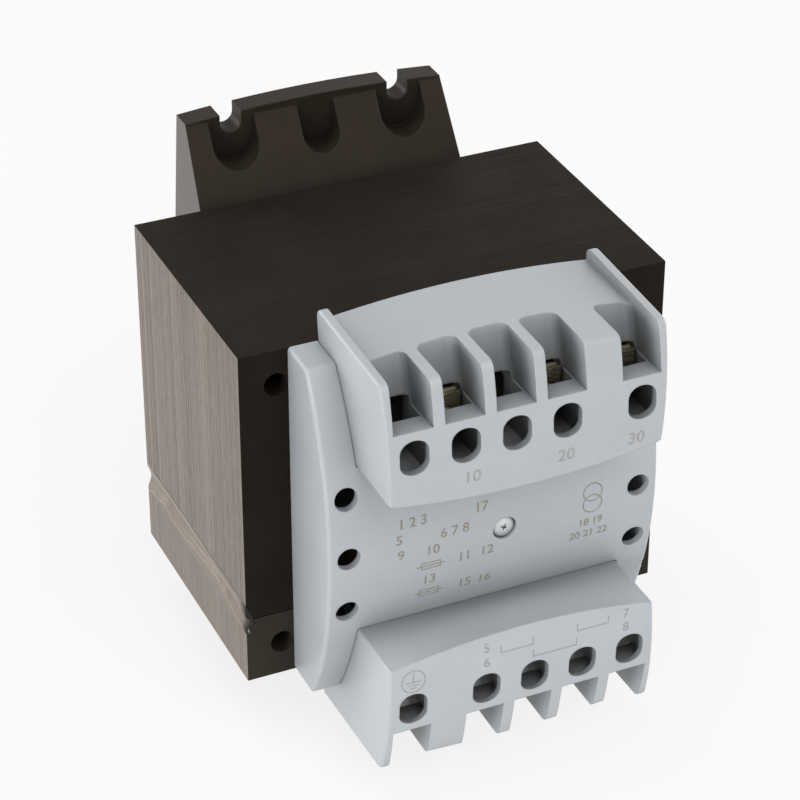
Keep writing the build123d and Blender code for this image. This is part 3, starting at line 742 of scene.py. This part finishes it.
def makeSeam(nodeName, name, side):
    low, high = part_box(nodeName)
    inner = low.x if side > 0 else high.x
    high.z = seamHigh.z
    steps = weldSeam["across"]
    clearPick()
    bpy.ops.mesh.primitive_grid_add(x_subdivisions=weldSeam["along"], y_subdivisions=steps + 2, size=1)
    seam = bpy.context.object
    rims, pools = [], []
    for vertex in seam.data.vertices:
        u, step = vertex.co.x + 0.5, round((vertex.co.y + 0.5) * (steps + 2))
        place, bright, pool = seamPoint(side, low, high, u, step / steps if step <= steps else 0.0)
        vertex.co = place if step != steps + 1 else (inner, place[1], seamRoot)
        rims.append(bright)
        pools.append(pool)
    for label, values in (("weldRim", rims), ("weldPool", pools)):
        seam.data.attributes.new(label, "FLOAT", "POINT").data.foreach_set("value", values)
    openEdit(seam)
    bpy.ops.mesh.remove_doubles(threshold=weldSeam["merge"])
    bpy.ops.mesh.fill_holes(sides=0)
    bpy.ops.mesh.select_all(action="SELECT")
    bpy.ops.mesh.normals_make_consistent(inside=False)
    closeEdit()
    return settle(seam, name, "weld", seamFinish, nodeName)


makeSeam("weld_bead_left", "weld_seam_left", -1)
makeSeam("weld_bead_right", "weld_seam_right", 1)

varnishDrop = {"radius": 0.5 * mm, "place": (-47.3 * mm, -79.85 * mm, -27.2 * mm),
               "stretch": (0.85, 0.6, 1.3), "segments": 28, "rings": 18,
               "necks": (0.15, 0.5, 0.8), "narrow": 0.55 ** 0.4, "draw": 1.06}


def makeVarnishDrop():
    clearPick()
    bpy.ops.mesh.primitive_uv_sphere_add(segments=varnishDrop["segments"], ring_count=varnishDrop["rings"],
                                         radius=varnishDrop["radius"], location=varnishDrop["place"])
    drop = bpy.context.object
    drop.scale = varnishDrop["stretch"]
    applyPlace(drop)
    middle = Vector(varnishDrop["place"])
    openEdit(drop)
    narrow = varnishDrop["narrow"]
    for share in varnishDrop["necks"]:  # the drop narrows upwards
        level = middle.z + share * varnishDrop["radius"] * varnishDrop["stretch"][2]
        pickInside(drop, "verts", lambda c: c.z > level)
        bpy.ops.transform.resize(value=(narrow, narrow, varnishDrop["draw"]),
                                 center_override=(middle.x, middle.y, level))
    closeEdit()
    applyModifier(drop, "SUBSURF", levels=1, render_levels=1)
    return settle(drop, "varnish_drop", "core", beadFinish)


makeVarnishDrop()
print("weld seams made")


# cover screw: a low domed head with a cross recess

coverScrew = {"sides": 48, "rings": 7, "fill": 1.06, "dome": 0.8 * mm, "rise": 0.3 * mm, "shankInset": 0.42,
              "recess": 2.0 * mm, "recessWide": 0.5 * mm, "recessDeep": 0.9 * mm, "recessTaper": 0.55,
              "turn": 24.0, "soft": 0.05 * mm, "softSteps": 2, "softFrom": 40.0}


def makeCoverScrew():
    low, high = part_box("cover_screw")
    middle, radius = (low + high) / 2, coverScrew["fill"] * (high.x - low.x) / 2
    top = low.y - coverScrew["rise"]
    foot = top + coverScrew["dome"]
    clearPick()
    bpy.ops.mesh.primitive_circle_add(vertices=coverScrew["sides"], radius=radius, fill_type="NGON",
                                      location=(middle.x, foot, middle.z), rotation=facingFront)
    screw = bpy.context.object
    applyPlace(screw)
    openEdit(screw)
    wide, tall = radius, 0.0
    for ring in range(1, coverScrew["rings"] + 1):
        angle = math.pi / 2 * ring / (coverScrew["rings"] + 1)
        newWide, newTall = radius * math.cos(angle), coverScrew["dome"] * math.sin(angle)
        bpy.ops.mesh.extrude_region()
        bpy.ops.transform.translate(value=(0, tall - newTall, 0))
        bpy.ops.transform.resize(value=(newWide / wide, 1, newWide / wide),
                                 center_override=(middle.x, foot - newTall, middle.z))
        wide, tall = newWide, newTall
    bpy.ops.mesh.select_all(action="SELECT")
    bpy.ops.mesh.fill_holes(sides=0)
    pickInside(screw, "faces", lambda c: abs(c.y - foot) < touch)
    bpy.ops.mesh.inset(thickness=coverScrew["shankInset"] * radius)
    bpy.ops.mesh.extrude_region()
    bpy.ops.transform.translate(value=(0, high.y - foot, 0))
    bpy.ops.mesh.select_all(action="SELECT")
    bpy.ops.mesh.normals_make_consistent(inside=False)
    closeEdit()
    taper = coverScrew["recessTaper"]
    for turn in (0, 90):
        clearPick()
        bpy.ops.mesh.primitive_cube_add(size=1, location=(middle.x, top, middle.z),
                                        rotation=(0, math.radians(coverScrew["turn"] + turn), 0))
        blade = bpy.context.object
        blade.scale = (coverScrew["recess"], 2 * coverScrew["recessDeep"], coverScrew["recessWide"])
        applyPlace(blade)
        openEdit(blade)
        pickInside(blade, "verts", lambda c: c.y > top)
        bpy.ops.transform.resize(value=(taper, 1, taper), center_override=(middle.x, top, middle.z))
        closeEdit()
        applyModifier(screw, "BOOLEAN", object=blade, operation="DIFFERENCE", solver="EXACT")
        bpy.data.objects.remove(blade)
    applyModifier(screw, "BEVEL", width=coverScrew["soft"], segments=coverScrew["softSteps"],
                  limit_method="ANGLE", angle_limit=math.radians(coverScrew["softFrom"]))
    return settle(screw, "cover_screw_head", "fixing", zincHead, "cover_screw")


makeCoverScrew()
print("cover screw made")


# printed marks, pressed on to the curved faces
# the places in the lists of marks are in millimetres

blockFace = {"radius": 66.6 * mm, "crest": 26.8 * mm, "front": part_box("primary_terminal_block")[0].y}
coverFace = {"radius": 80.1 * mm, "crest": 0.0, "front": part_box("front_cover")[0].y}
printing = {"lift": 0.008 * mm, "thick": 0.04 * mm, "bold": 0.05 * mm, "steps": 4, "cuts": 1,
            "merge": 0.0005 * mm, "line": 0.28 * mm, "lineCuts": 3, "overlap": 0.9, "ringSides": 40}


def faceDepth(face, z):
    return face["front"] + face["radius"] - math.sqrt(face["radius"] ** 2 - (abs(z) - face["crest"]) ** 2)


def stampNumber(word, x, z, size):
    clearPick()
    bpy.ops.object.text_add(location=(x, 0, z), rotation=facingFront)
    mark = bpy.context.object
    mark.data.body = word
    mark.data.size = size
    mark.data.offset = printing["bold"]
    mark.data.resolution_u = printing["steps"]
    mark.data.align_x = "CENTER"
    mark.data.align_y = "CENTER"
    bpy.ops.object.convert(target="MESH")
    applyPlace(mark)
    openEdit(mark)
    bpy.ops.mesh.remove_doubles(threshold=printing["merge"])
    bpy.ops.mesh.subdivide(number_cuts=printing["cuts"])
    closeEdit()
    return mark


def stampLine(start, end):
    width = printing["line"]
    run = Vector((end[0] - start[0], 0, end[1] - start[1]))
    middle = Vector(((start[0] + end[0]) / 2, 0, (start[1] + end[1]) / 2))
    clearPick()
    bpy.ops.mesh.primitive_plane_add(size=1, location=middle, rotation=facingFront)
    mark = bpy.context.object
    mark.scale = (run.length + printing["overlap"] * width, width, 1)
    applyPlace(mark)
    openEdit(mark)
    bpy.ops.mesh.subdivide(number_cuts=printing["lineCuts"])
    closeEdit()
    turn = Matrix.Rotation(-math.atan2(run.z, run.x), 4, "Y")
    mark.data.transform(Matrix.Translation(middle) @ turn @ Matrix.Translation(-middle))
    return mark


def stampRing(x, z, radius):
    clearPick()
    bpy.ops.mesh.primitive_circle_add(vertices=printing["ringSides"], radius=radius, location=(x, 0, z),
                                      rotation=facingFront)
    mark = bpy.context.object
    applyPlace(mark)
    openEdit(mark)
    bpy.ops.mesh.extrude_region()
    shrink = 1 - printing["line"] / radius
    bpy.ops.transform.resize(value=(shrink, 1, shrink), center_override=(x, 0, z))
    closeEdit()
    return mark


def stampPath(points):
    return [stampLine(a, b) for a, b in zip(points, points[1:])]


def pressMarks(marks, face, name, finish):
    sheet = joinPieces(marks)
    for vertex in sheet.data.vertices:
        vertex.co.y = faceDepth(face, vertex.co.z) - printing["lift"]
    for patch in sheet.data.polygons:
        if patch.normal.y > 0:
            patch.flip()
    applyModifier(sheet, "SOLIDIFY", thickness=printing["thick"], offset=-1)
    return settle(sheet, name, "shell", finish)


upperMarks = {"size": 3.9 * mm, "numbers": [("10", -12.4, 22.9), ("20", 8.2, 22.5), ("30", 23.9, 22.4)]}
marks = [stampNumber(word, x * mm, z * mm, upperMarks["size"]) for word, x, z in upperMarks["numbers"]]
pressMarks(marks, blockFace, "upper_numbers", blockInk)

# two rows that show how the lower terminals can be linked, and the earth sign
lowerMarks = {"size": 3.0 * mm,
              "numbers": [("5", -8.4, -20.5), ("6", -8.4, -24.0), ("7", 23.7, -21.2), ("8", 23.7, -24.5)],
              "links": [(-5.2, 2.2, -20.75), (12.4, 19.6, -20.55), (2.2, 12.2, -23.9)], "linkDeep": 1.65 * mm,
              "earthPlace": (-24.9 * mm, -23.6 * mm), "earthRing": 2.75 * mm, "earthStem": (0.72, -0.05),
              "earthBars": (0.62, 0.40, 0.18), "earthStep": 0.27}
marks = [stampNumber(word, x * mm, z * mm, lowerMarks["size"]) for word, x, z in lowerMarks["numbers"]]
for left, right, z in lowerMarks["links"]:
    high, low = z * mm, z * mm - lowerMarks["linkDeep"]
    marks += stampPath([(left * mm, high), (left * mm, low), (right * mm, low), (right * mm, high)])
earthX, earthZ = lowerMarks["earthPlace"]
ring = lowerMarks["earthRing"]
marks.append(stampRing(earthX, earthZ, ring))
stemTop, stemFoot = lowerMarks["earthStem"]
marks.append(stampLine((earthX, earthZ + stemTop * ring), (earthX, earthZ + stemFoot * ring)))
for step, width in enumerate(lowerMarks["earthBars"]):
    z = earthZ + (stemFoot - lowerMarks["earthStep"] * step) * ring
    marks.append(stampLine((earthX - width * ring, z), (earthX + width * ring, z)))
pressMarks(marks, blockFace, "lower_numbers", blockInk)

coverMarks = {"size": 3.2 * mm, "fuse": (4.2 * mm, 1.5 * mm), "fuseLead": 0.72,
              "fuses": [(-14.6, -6.8), (-14.6, -14.1)],
              "numbers": [("1 2 3", -18.8, 5.0), ("5", -21.8, 1.3), ("6 7 8", -9.4, 0.5), ("9", -21.4, -2.5),
                          ("10", -14.3, -3.0), ("11", -7.0, -6.8), ("12", -1.9, -6.7), ("13", -14.8, -10.6),
                          ("15", -6.5, -14.2), ("16", -2.0, -14.3), ("17", -3.4, 4.6)],
              "smallSize": 2.5 * mm, "smallNumbers": [("18 19", 22.0, -6.2), ("20 21 22", 21.8, -9.3)],
              "symbolPlace": (22.2 * mm, -0.2 * mm), "symbolRing": 2.3 * mm, "symbolShift": 0.62}


def stampFuse(x, z):
    long, tall = coverMarks["fuse"]
    lead = coverMarks["fuseLead"] * long
    left, right, low, high = x - long / 2, x + long / 2, z - tall / 2, z + tall / 2
    box = [(left, low), (right, low), (right, high), (left, high), (left, low)]
    return stampPath(box) + [stampLine((x - lead, z), (x + lead, z))]


marks = [stampNumber(word, x * mm, z * mm, coverMarks["size"]) for word, x, z in coverMarks["numbers"]]
for word, x, z in coverMarks["smallNumbers"]:
    marks.append(stampNumber(word, x * mm, z * mm, coverMarks["smallSize"]))
for x, z in coverMarks["fuses"]:
    marks += stampFuse(x * mm, z * mm)
symbolX, symbolZ = coverMarks["symbolPlace"]
ring = coverMarks["symbolRing"]
for shift in (-coverMarks["symbolShift"], coverMarks["symbolShift"]):
    marks.append(stampRing(symbolX, symbolZ + shift * ring, ring))
pressMarks(marks, coverFace, "cover_marks", coverInk)
print("marks printed")


# stage, light and camera
# each lamp is its name, place, size, power and colour

studio = {"floorReach": 20.0, "floorSides": 64, "floorColour": (0.90, 0.90, 0.90, 1), "shadowShare": 0.18,
          "worldLight": 0.39,
          "lamps": [("overhead", (-0.4, 0.3, 1.7), 1.0, 6.4, (1.0, 1.0, 1.0)),
                    ("leftBack", (-0.95, 1.3, 0.18), 0.8, 9.2, (1.0, 0.94, 0.86)),
                    ("leftFront", (-0.9, -0.5, 0.0), 0.5, 6.4, (1.0, 1.0, 1.0)),
                    ("frontHigh", (0.1, -1.05, 1.15), 0.9, 7.5, (1.0, 1.0, 1.0)),
                    ("rightSide", (1.4, -0.1, 0.1), 0.8, 11.0, (1.0, 1.0, 1.0))]}


def seenRays(tree):  # camera, glossy and transmission rays see the white
    path = addNode(tree, "LightPath")
    seen = calc(tree, "MAXIMUM", path.outputs["Is Camera Ray"], path.outputs["Is Glossy Ray"])
    return calc(tree, "MAXIMUM", seen, path.outputs["Is Transmission Ray"])


def makeFloor():
    clearPick()
    bpy.ops.mesh.primitive_circle_add(vertices=studio["floorSides"], radius=studio["floorReach"],
                                      fill_type="NGON", location=(0, 0, cadBox[0].z))
    floor = bpy.context.object
    floor.name = "floor"
    material = bpy.data.materials.new("pale_floor")
    material.use_nodes = True
    tree = material.node_tree
    tree.nodes.remove(tree.nodes["Principled BSDF"])
    matt = addNode(tree, "BsdfDiffuse")
    matt.inputs["Color"].default_value = studio["floorColour"]
    white = addNode(tree, "Emission")
    white.inputs["Strength"].default_value = 1.0
    mix = addNode(tree, "MixShader")
    feed(tree, mix.inputs[0], calc(tree, "MULTIPLY", seenRays(tree), 1 - studio["shadowShare"]))
    feed(tree, mix.inputs[1], matt.outputs[0])
    feed(tree, mix.inputs[2], white.outputs[0])
    feed(tree, tree.nodes["Material Output"].inputs["Surface"], mix.outputs[0])
    floor.data.materials.append(material)


def makeWorld():
    world = bpy.data.worlds.new("studio")
    world.use_nodes = True
    scene.world = world
    tree = world.node_tree
    light = tree.nodes["Background"]
    light.inputs["Color"].default_value = plainWhite
    light.inputs["Strength"].default_value = studio["worldLight"]
    white = addNode(tree, "Background")
    white.inputs["Color"].default_value = plainWhite
    mix = addNode(tree, "MixShader")
    feed(tree, mix.inputs[0], seenRays(tree))
    feed(tree, mix.inputs[1], light.outputs[0])
    feed(tree, mix.inputs[2], white.outputs[0])
    feed(tree, tree.nodes["World Output"].inputs["Surface"], mix.outputs[0])


def makeLamps():
    aim = (cadBox[0] + cadBox[1]) / 2
    for name, place, size, power, tint in studio["lamps"]:
        clearPick()
        bpy.ops.object.light_add(type="AREA", location=place)
        lamp = bpy.context.object
        lamp.name = name
        lamp.data.shape = "DISK"
        lamp.data.size = size
        lamp.data.energy = power
        lamp.data.color = tint
        lamp.rotation_euler = (aim - lamp.location).to_track_quat("-Z", "Y").to_euler()


photoView = {"azimuth": -24.243, "elevation": 32.25, "roll": 0.075, "lens": 130.36, "sensor": 36,
             "place": Vector((-218.93, -537.81, 338.13)) * mm}


def makeCamera():
    turn, lift, roll = (math.radians(photoView[key]) for key in ("azimuth", "elevation", "roll"))
    back = Vector((math.sin(turn) * math.cos(lift), -math.cos(turn) * math.cos(lift), math.sin(lift)))
    right = Vector((math.cos(turn), math.sin(turn), 0))
    up = back.cross(right)
    level = Matrix((right, up, back)).transposed().to_4x4()
    clearPick()
    bpy.ops.object.camera_add()
    camera = bpy.context.object
    camera.data.sensor_width = photoView["sensor"]
    camera.data.lens = photoView["lens"]
    camera.matrix_world = Matrix.Translation(photoView["place"]) @ level @ Matrix.Rotation(roll, 4, "Z")
    scene.camera = camera


makeFloor()
makeWorld()
makeLamps()
makeCamera()
print("stage, light and camera set")
